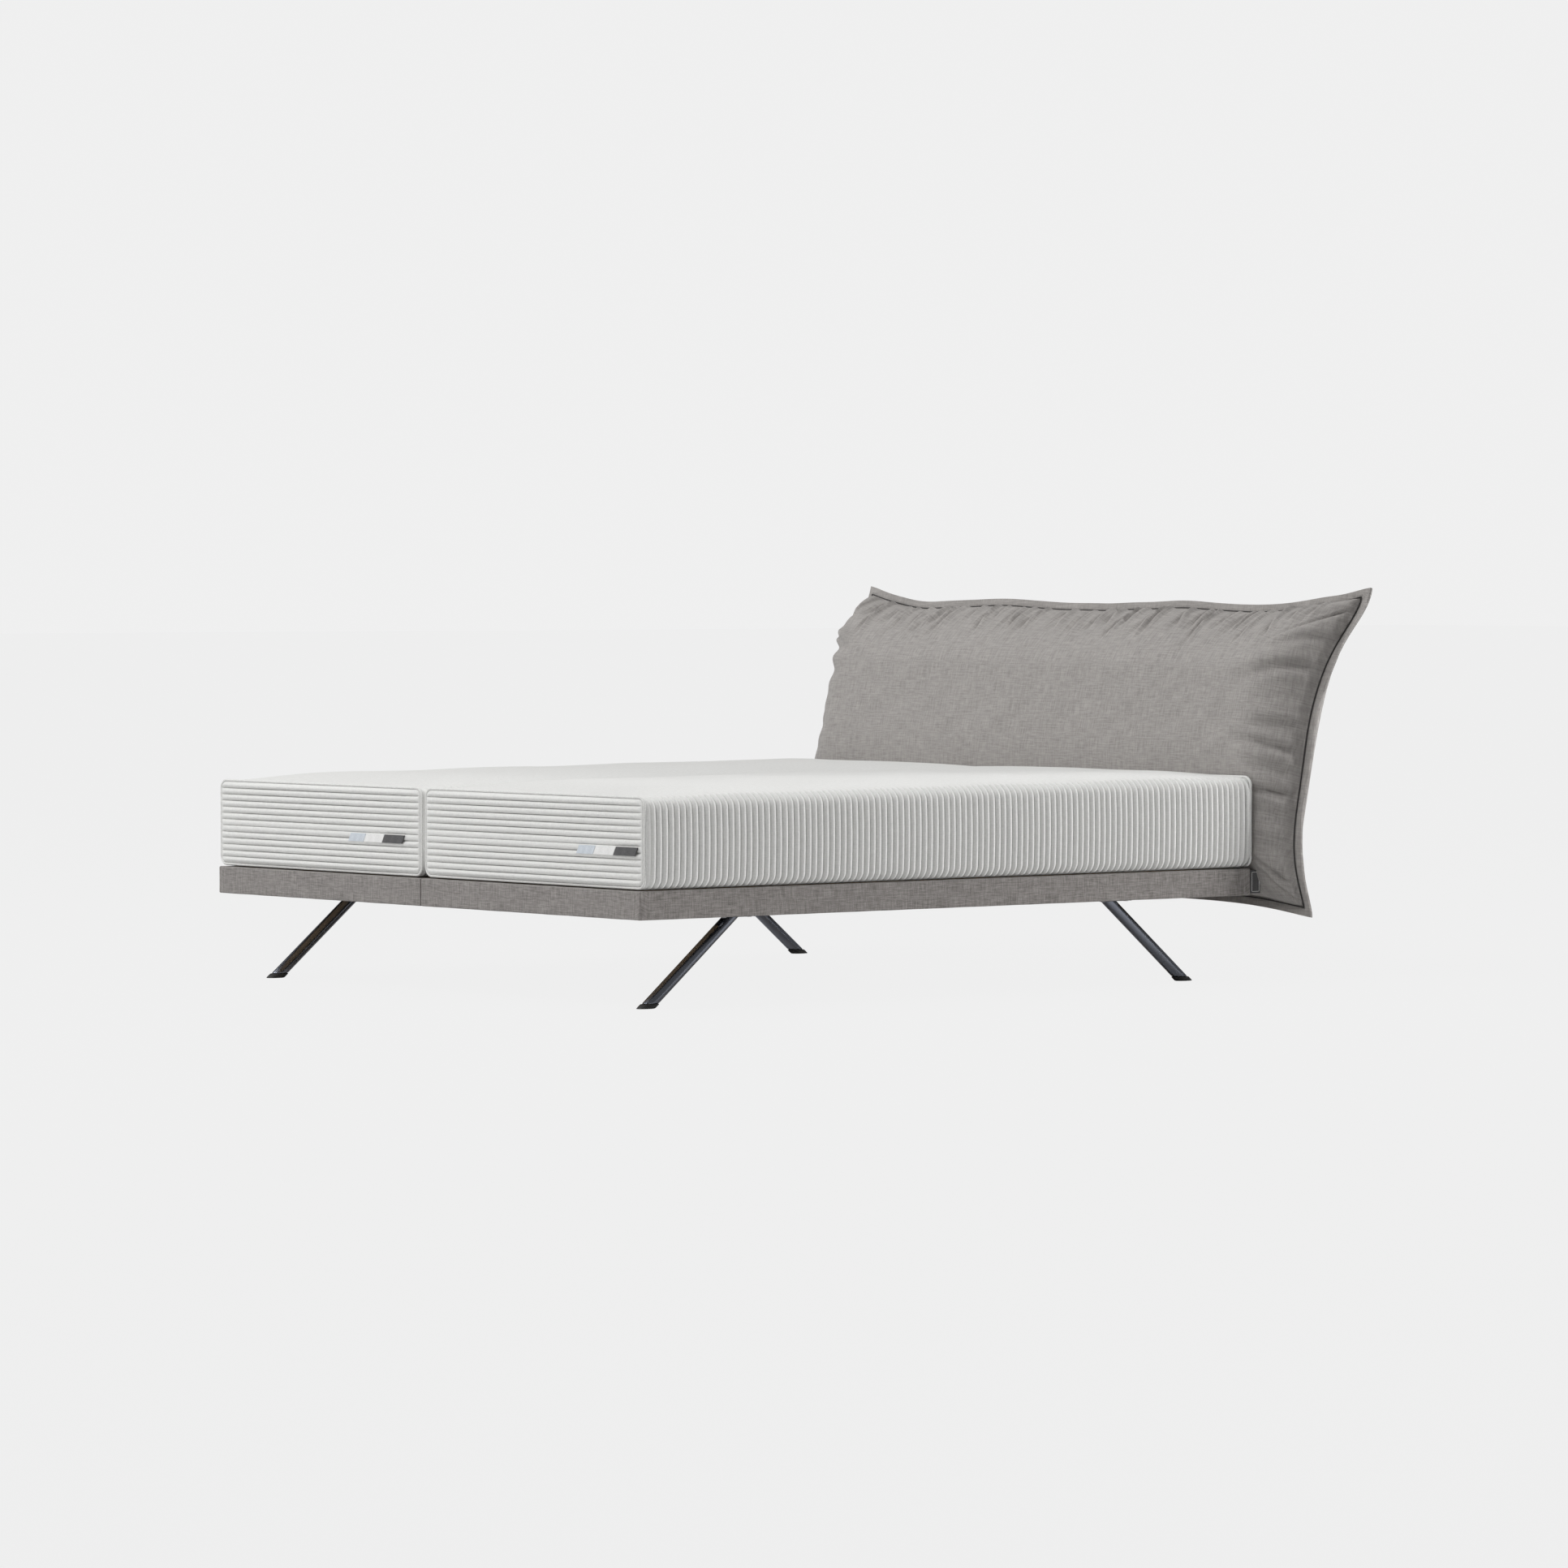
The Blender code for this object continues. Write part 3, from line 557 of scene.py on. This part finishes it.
def mattress_tag(side, right_edge, foot_end, low, high):
    """Three plain slanted tabs sewn on the foot panel: pale blue, white and dark grey."""
    z = low + (high - low) * 0.415
    height, slant = 0.021, 0.012
    start = right_edge - (0.264 if side == "right" else 0.311)
    y = foot_end - 0.0030
    for number, (width, material) in enumerate(((0.066, TAG_BLUE), (0.080, TAG_WHITE), (0.085, TAG_DARK))):
        rings = []
        for k in range(13):
            x = start + width * k / 12
            wave = 0.0004 * math.sin(k * 1.4 + number)
            top, bottom = (x + slant, z + height / 2), (x, z - height / 2)
            rings.append([(bottom[0], y - 0.0030 + wave, bottom[1]), (bottom[0], y + wave, bottom[1]),
                          (top[0], y + wave, top[1]), (top[0], y - 0.0030 + wave, top[1])])
        made = loft(f"{side}_mattress_tab_{number}", rings, plane_uv(rings, 0, 2), material)
        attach(made, f"{side}_calf")
        start += width + 0.0006


# ---- headboard ----
LEAN = math.radians(13.9)
PLANE_Y, PLANE_Z = BASE_Y + 1.107, 0.185
CUSHION_LOW, CUSHION_TOP, CUSHION_W = -0.020, 0.860, 1.022
CUSHION_FULL = 0.195
FLANGE = 0.0215
FLANGE_HALF = 0.0035
BOARD_FRONT = -0.0125
SEAM_UP, SEAM_RADIUS = 0.0046, 0.0018
FAR_OFF = 9.0
TOP_WAVES = ((-0.72, 0.09, -0.006), (-0.37, 0.13, 0.008), (-0.06, 0.12, -0.003), (0.08, 0.08, -0.004),
             (0.37, 0.10, 0.004), (0.70, 0.17, -0.010), (0.95, 0.06, -0.006))


def on_headboard(x, up, forward):
    """Points from the headboard's leaning plane: across, up along the lean, and forward of it."""
    x, up, forward = np.broadcast_arrays(x, up, forward)
    y = PLANE_Y + math.sin(LEAN) * up - math.cos(LEAN) * forward
    z = PLANE_Z + math.cos(LEAN) * up + math.sin(LEAN) * forward
    return np.stack([x, y, z], -1)


def rise(distance, reach, power):
    """How full the cushion is at a distance from its seam: steep at first, then level."""
    return (1 - (1 - np.clip(distance / reach, 0, 1)) ** power) ** (1 / power)


def away(distance, reach, power):
    """0 at a corner, and near 1 past that reach."""
    return 1 - np.exp(-(np.clip(distance, 0, None) / reach) ** power)


def cushion_form(a_grid, b_grid):
    """The cushion's outline and seam for a from -1 to 1 across and b from 0 to 1 up."""
    height = CUSHION_TOP - CUSHION_LOW
    on_side = away((1 - b_grid) * height, 0.175, 2.0) * away(b_grid * height, 0.13, 1.5)
    on_side *= 1 - 0.08 * np.exp(-((b_grid - 0.33) / 0.14) ** 2)
    half = CUSHION_W - 0.002 - 0.040 * on_side
    x = a_grid * half
    on_long = away((1 - np.abs(a_grid)) * CUSHION_W, 0.17, 1.3)
    wave = sum(amount * np.exp(-((x - place) / width) ** 2) for place, width, amount in TOP_WAVES)
    top = CUSHION_TOP - 0.055 * on_long + wave
    bottom = CUSHION_LOW + 0.028 * on_long
    up = bottom + (top - bottom) * b_grid
    edges = (half - np.abs(x), top - up, up - bottom)
    bow = np.maximum(0.070 * on_side * np.exp(-np.clip(edges[0] - FLANGE, 0, None) / 0.12),
                     0.050 * on_long * np.exp(-np.clip(edges[1] - FLANGE, 0, None) / 0.12))
    bow = np.maximum(bow, 0.030 * on_long * np.exp(-np.clip(edges[2] - FLANGE, 0, None) / 0.12))
    nearest = np.minimum(np.minimum(edges[0], edges[1]), edges[2])
    sweep = 0.018 * np.minimum(1, on_side * on_long * 1.5 + 0.1) * (1 - np.clip(nearest / FLANGE, 0, 1))
    flutter = 0.0025 * np.sin(up * 27 + 1.0) * np.exp(-edges[0] / 0.02)
    flutter = flutter + 0.0022 * np.sin(x * 21) * np.exp(-edges[1] / 0.02)
    return x, up, edges, nearest, bow - sweep + flutter


def gathers(x, up, edges):
    """Valleys that run in from the seams, each with a ridge beside it, as a depth along the normal."""
    draws = np.random.default_rng(21)
    valleys = []
    for i in range(34):
        place = -0.96 + 1.92 * (i + draws.uniform(0.1, 0.9)) / 34
        valleys.append((x, edges[1], place, draws.uniform(-0.45, 0.15), draws.uniform(0.055, 0.120),
                        draws.uniform(0.006, 0.012), draws.uniform(0.011, 0.023), 0.008))
    for sign in (-1, 1):
        along = np.where(x * sign > 0, up, FAR_OFF)
        for i in range(12):
            place = 0.06 + 0.74 * (i + draws.uniform(0.1, 0.9)) / 12
            lean = draws.uniform(-0.25, 0.25) + 0.9 * np.clip((place - 0.60) / 0.2, 0, 1)
            amount = draws.uniform(0.006, 0.013) * (1.0 if sign > 0 or place > 0.55 else 0.2)
            valleys.append((along, edges[0], place, -lean, draws.uniform(0.08, 0.19),
                            draws.uniform(0.011, 0.022), amount, 0.012))
        for place, lean, length, amount in ((0.285, 0.1, 0.16, 0.008), (0.165, -0.05, 0.10, 0.007),
                                            (0.055, -0.7, 0.12, 0.007), (0.010, -0.9, 0.09, 0.006),
                                            (0.790, 0.9, 0.16, 0.005)):
            share = 1.0 if sign > 0 else 0.3
            valleys.append((along, edges[0], place, -lean, length, 0.007, amount * share, 0.010))
    depth = np.zeros_like(x)
    for along, inward, place, lean, length, width, amount, start in valleys:
        inward = inward - FLANGE
        across = along - place - lean * inward
        spread = width * (0.7 + 0.7 * np.clip(inward / length, 0, 2))
        fall = np.exp(-(np.clip(inward - 0.35 * length, 0, None) / (0.5 * length)) ** 2)
        profile = np.exp(-(across / spread) ** 2) - 0.55 * np.exp(-((across - 1.8 * spread) / spread) ** 2)
        depth += amount * profile * fall * np.clip(inward / start, 0, 1)
    return depth


def spread_to_ends(count, share):
    """Places from 0 to 1 that lie closer together near both ends."""
    t = np.linspace(0, 1, count)
    return t * (1 - share) + share * (1 - np.cos(t * math.pi)) / 2


def surface_normals(points):
    normal = np.cross(np.gradient(points, axis=0), np.gradient(points, axis=1))
    normal /= np.linalg.norm(normal, axis=-1, keepdims=True) + 1e-12
    return normal if normal[normal.shape[0] // 2, normal.shape[1] // 2, 1] < 0 else -normal


def cushion():
    """A crowned cushion with a flange all round, pinched ears and gathers along its seams."""
    a_grid, b_grid = np.meshgrid(spread_to_ends(500, 0.4) * 2 - 1, spread_to_ends(149, 0.6), indexing="ij")
    x, up, edges, nearest, bow = cushion_form(a_grid, b_grid)
    side_reach = np.where(x < 0, 0.125, 0.14)
    body = (rise(edges[0] - FLANGE, side_reach, 2.0) * rise(edges[1] - FLANGE, 0.19, 1.6)
            * rise(edges[2] - FLANGE, 0.33, 2.0))
    front = bow + FLANGE_HALF + (CUSHION_FULL - bow) * body
    points = on_headboard(x, up, front)
    inside = np.clip((nearest - FLANGE) / 0.03, 0, 1)
    depth = gathers(x, up, edges) - 0.0016 * ripple(np.stack([x, up, x - up], -1), 0.16, 1.0) * inside
    depth += 0.0040 * np.exp(-((nearest - FLANGE) / 0.0035) ** 2)
    points = points - surface_normals(points) * depth[..., None]
    limit, softness = BASE_Y + 1.004, 0.005
    points[..., 1] = limit + np.logaddexp(0, (points[..., 1] - limit) / softness) * softness
    back_fill = np.minimum(rise(edges[0] - FLANGE, 0.13, 2.0),
                           rise(np.minimum(edges[1], edges[2]) - FLANGE, 0.10, 2.0))
    back = (bow - FLANGE_HALF) * (1 - back_fill) + BOARD_FRONT * back_fill
    back_points = on_headboard(x, up, np.maximum(back, BOARD_FRONT))
    rings = np.concatenate([points, back_points[:, ::-4]], 1)
    flat = np.stack([x, up], -1)
    uv = np.concatenate([flat, flat[:, ::-4], flat[:, :1]], 1)
    made = loft("headboard_cushion_cover", rings, uv, CUSHION_FABRIC_PAINTED_LIGHTER, sharp_angle=80)
    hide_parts("headboard_cushion")
    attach(made, "base")
    seam_painted_shade_cord()


def seam_painted_shade_cord():
    """A near-black cord along the seam where the flange meets the cushion's front: painted shade for the shadow in
    the seam's groove.
    """
    steps = np.linspace(0, 1, 160)[:-1]
    inner_a, inner_b = 1 - FLANGE / CUSHION_W, FLANGE / (CUSHION_TOP - CUSHION_LOW)
    corners = ((-inner_a, inner_b), (inner_a, inner_b), (inner_a, 1 - inner_b), (-inner_a, 1 - inner_b))
    lap = []
    for start, end in zip(corners, corners[1:] + corners[:1]):
        lap += [(start[0] + (end[0] - start[0]) * t, start[1] + (end[1] - start[1]) * t) for t in steps]
    lap = np.array(lap)
    x, up, edges, _, bow = cushion_form(lap[:, 0], lap[:, 1])
    on_top = np.exp(-((edges[1] - FLANGE) / 0.03) ** 2) * away(CUSHION_W - np.abs(x), 0.20, 2.0)
    path = on_headboard(x, up, bow + SEAM_UP - 0.0034 * on_top)
    # the near-black cord is painted shade lying in the seam's groove
    stitch = tube_along("headboard_seam_painted_shade", path, SEAM_RADIUS, SEAM_PAINTED_SHADE, sides=8)
    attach(stitch, "base")


def headboard_back():
    """The upholstered board that carries the cushion."""
    half_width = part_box("headboard_board")[1].x
    bottom, top = 0.030, 0.780
    section = rounded_section((-half_width, bottom), (half_width, top), 0.012, 0.02, 5)
    middle = np.array([0.0, (bottom + top) / 2])
    half = np.array([half_width, (top - bottom) / 2])
    rings = []
    for forward, inset in ((-0.0140, 0.003), (-0.0155, 0.001), (-0.018, 0.0), (-0.030, 0.0), (-0.0325, 0.001),
                           (-0.0342, 0.003), (-0.0345, 0.006), (-0.0345, 0.10)):
        shrunk = middle + (section - middle) * (1 - inset / half)
        rings.append(on_headboard(shrunk[:, 0], shrunk[:, 1], forward))
    rings = np.array(rings)
    made = loft("headboard_back_cover", rings, plane_uv(rings, 0, 2), BASE_FABRIC, sharp_angle=70)
    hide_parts("headboard_board")
    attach(made, "base")


# ---- legs ----
PLATE_HALF = (0.035, 0.050)
PLATE_THICKNESS = 0.0057
BOLT_PLACES = ((-0.024, -0.040), (0.024, -0.040), (-0.024, 0.040), (0.024, 0.040))


def leg(name, leans_to_foot):
    """A slanted tube cut level, with its plate, bolts and glide, fitted to the CAD leg's lowest ring."""
    low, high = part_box(f"{name}_leg")
    glide_low, glide_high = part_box(f"{name}_glide")
    foot = (glide_low + glide_high) / 2
    vertices = frame["nodes"][f"{name}_leg"].data.vertices
    ring = np.array([v.co for v in vertices if v.co.z < low.z + 0.0005])
    radius = (ring[:, 0].max() - ring[:, 0].min()) / 2
    stretch = (ring[:, 1].max() - ring[:, 1].min()) / (2 * radius)
    start = np.array([ring[:, 0].max() + ring[:, 0].min(), ring[:, 1].max() + ring[:, 1].min()]) / 2
    lean = (1 if leans_to_foot else -1) * math.sqrt(stretch ** 2 - 1)
    sides = 72
    turn = np.arange(sides) * 2 * math.pi / sides

    def level(z, r):
        middle = start[1] + lean * (z - low.z)
        return np.column_stack([start[0] + r * np.cos(turn), middle + r * stretch * np.sin(turn),
                                np.full(sides, z)])

    plate_low = high.z - PLATE_THICKNESS
    edge_end = low.z + 0.003
    heights = [(low.z, radius - 0.0015), (low.z + 0.0012, radius - 0.0003), (edge_end, radius)]
    heights += [(edge_end + (plate_low - edge_end) * k / 12, radius) for k in range(1, 13)]
    rings = np.array([level(z, r) for z, r in heights])
    tube = loft(f"{name}_leg_tube", rings, wrapped_uv(rings), CHROME)
    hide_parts(f"{name}_leg")
    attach(tube, "base")
    plate_y = start[1] + lean * (plate_low - low.z)
    plate = bar(f"{name}_leg_plate", (foot.x - PLATE_HALF[0], plate_y - PLATE_HALF[1], plate_low),
                (foot.x + PLATE_HALF[0], plate_y + PLATE_HALF[1], high.z), 0.002, 1, STEEL)
    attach(plate, "base")
    for i, (dx, dy) in enumerate(BOLT_PLACES):
        bolt(f"{name}_bolt_{i}", foot.x + dx, plate_y + dy, plate_low)
    glide_form = ((glide_low.z, 0.0008), (glide_low.z + 0.001, 0.0018), (glide_low.z + 0.0035, 0.002),
                  (glide_high.z - 0.002, 0.002), (glide_high.z - 0.0006, 0.0012), (glide_high.z, -0.001))
    glide_rings = np.array([level(z, radius + over) for z, over in glide_form])
    glide = loft(f"{name}_glide_cap", glide_rings, wrapped_uv(glide_rings), GLIDE)
    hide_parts(f"{name}_glide")
    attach(glide, "base")


def bolt(name, x, y, z):
    """A low hexagon bolt head with its flange, below a plate."""
    turn = np.arange(6) * math.pi / 3
    form = ((0.0, 0.0080), (0.0004, 0.0080), (0.00041, 0.0062), (0.0009, 0.0062), (0.0012, 0.0052))
    rings = []
    for down, radius in form:
        rings.append(np.column_stack([x + radius * np.cos(turn), y + radius * np.sin(turn),
                                      np.full(6, z - down)]))
    made = loft(name, rings, wrapped_uv(rings), BRIGHT_STEEL, sharp_angle=30)
    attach(made, "base")


# ---- side tag: a plain dark tab folded into the corner seam ----
def side_tag():
    low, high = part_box("side_tag")
    rings = []
    steps = 16
    for k in range(steps + 1):
        t = k / steps
        y = low.y + (high.y - low.y) * t
        curl = 0.0006 * math.sin(t * 5)
        x0, x1 = low.x + 0.0002 + curl, high.x - 0.0002 + curl
        ring = rounded_section((x0, low.z), (x1, high.z), 0.0005, 0.01, 2)
        rings.append(np.column_stack([ring[:, 0], np.full(len(ring), y), ring[:, 1]]))
    made = loft("corner_tab", rings, plane_uv(rings, 1, 2), TAG_DARK)
    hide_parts("side_tag")
    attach(made, "base")
    x = high.x + 0.0004
    margin = 0.005
    border = rounded_section((low.y + margin, low.z + margin), (high.y - margin, high.z - margin),
                             0.002, 0.004, 2)
    path = np.column_stack([np.full(len(border), x), border[:, 0], border[:, 1]])
    stitch = tube_along("corner_tab_stitch", path, 0.0005, TAG_WHITE, sides=6)
    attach(stitch, "base")


# ---- finishes of the CAD pieces that stay ----
def finish_cad_nodes():
    finishes = {"frame_steel": STEEL, "dark_chrome": CHROME, "pin_steel": BRIGHT_STEEL, "deck_wood": DECK,
                "motor_plastic": PLASTIC, "glide_plastic": GLIDE, "base_fabric": BASE_FABRIC,
                "headboard_fabric": CUSHION_FABRIC_PAINTED_LIGHTER, "mattress_ticking": TICKING, "tag_fabric": TAG_DARK}
    for part in frame["record"]["subparts"]:
        cad = frame["nodes"][part["node"]]
        cad.data.materials.clear()
        cad.data.materials.append(finishes[part["material_slot"]])


# ---- studio ----
def studio():
    """A pale floor that runs into a pale surround, with large soft lights."""
    tone = 0.867
    floor_mesh = bpy.data.meshes.new("floor")
    reach = 90.0
    corners = [(-reach, -reach, 0), (reach, -reach, 0), (reach, reach, 0), (-reach, reach, 0)]
    floor_mesh.from_pydata(corners, [], [(0, 1, 2, 3)])
    floor = bpy.data.objects.new("floor", floor_mesh)
    floor.location.z = -0.0005
    bpy.context.scene.collection.objects.link(floor)
    paper = bpy.data.materials.new("floor_paper")
    paper.use_nodes = True
    tree = paper.node_tree
    shader = tree.nodes["Principled BSDF"]
    shader.inputs["Base Color"].default_value = (0.72, 0.72, 0.72, 1.0)
    shader.inputs["Roughness"].default_value = 1.0
    shader.inputs["Specular IOR Level"].default_value = 0.0
    glow = node(tree, "ShaderNodeEmission", {"Color": (tone, tone, tone, 1.0), "Strength": 1.0})
    path = node(tree, "ShaderNodeLightPath")
    share = math_node(tree, "MULTIPLY", path.outputs["Is Camera Ray"], 0.985)
    mixed = node(tree, "ShaderNodeMixShader", {0: share, 1: shader.outputs[0], 2: glow.outputs[0]})
    tree.links.new(mixed.outputs[0], tree.nodes["Material Output"].inputs["Surface"])
    floor_mesh.materials.append(paper)
    world = bpy.data.worlds.new("studio")
    bpy.context.scene.world = world
    world.use_nodes = True
    tree = world.node_tree
    background = tree.nodes["Background"]
    background.inputs["Color"].default_value = (tone, tone, tone, 1.0)
    background.inputs["Strength"].default_value = 1.0
    surround = node(tree, "ShaderNodeBackground", {"Color": (1.0, 1.0, 1.0, 1.0), "Strength": 0.20})
    path = node(tree, "ShaderNodeLightPath")
    chosen = node(tree, "ShaderNodeMixShader",
                  {0: path.outputs["Is Camera Ray"], 1: surround.outputs[0], 2: background.outputs[0]})
    tree.links.new(chosen.outputs[0], tree.nodes["World Output"].inputs["Surface"])
    lights = (("key", (-5.0, -6.0, 7.0), 5.0, 425.0), ("front", (0.5, -6.0, 8.0), 5.0, 336.0),
              ("top", (0.5, 0.0, 7.0), 5.0, 115.0), ("side", (5.0, 9.0, 2.0), 3.0, 930.0))
    for name, place, size, power in lights:
        lamp = bpy.data.lights.new(name, "AREA")
        lamp.size = size
        lamp.energy = power
        made = bpy.data.objects.new(name, lamp)
        made.location = place
        made.rotation_mode = "QUATERNION"
        made.rotation_quaternion = (Vector((0, 0, 0.4)) - Vector(place)).to_track_quat("-Z", "Y")
        made.visible_glossy = name != "side"
        bpy.context.scene.collection.objects.link(made)
    bpy.context.scene.view_settings.view_transform = "Standard"


for side_name, side_sign in SIDES:
    base_border(side_name, side_sign)
    inner_border(side_name)
    mattress(side_name)
cushion()
headboard_back()
for leg_end in ("front", "rear"):
    for side_name, _ in SIDES:
        leg(f"{leg_end}_{side_name}", leg_end == "front")
side_tag()
finish_cad_nodes()
studio()
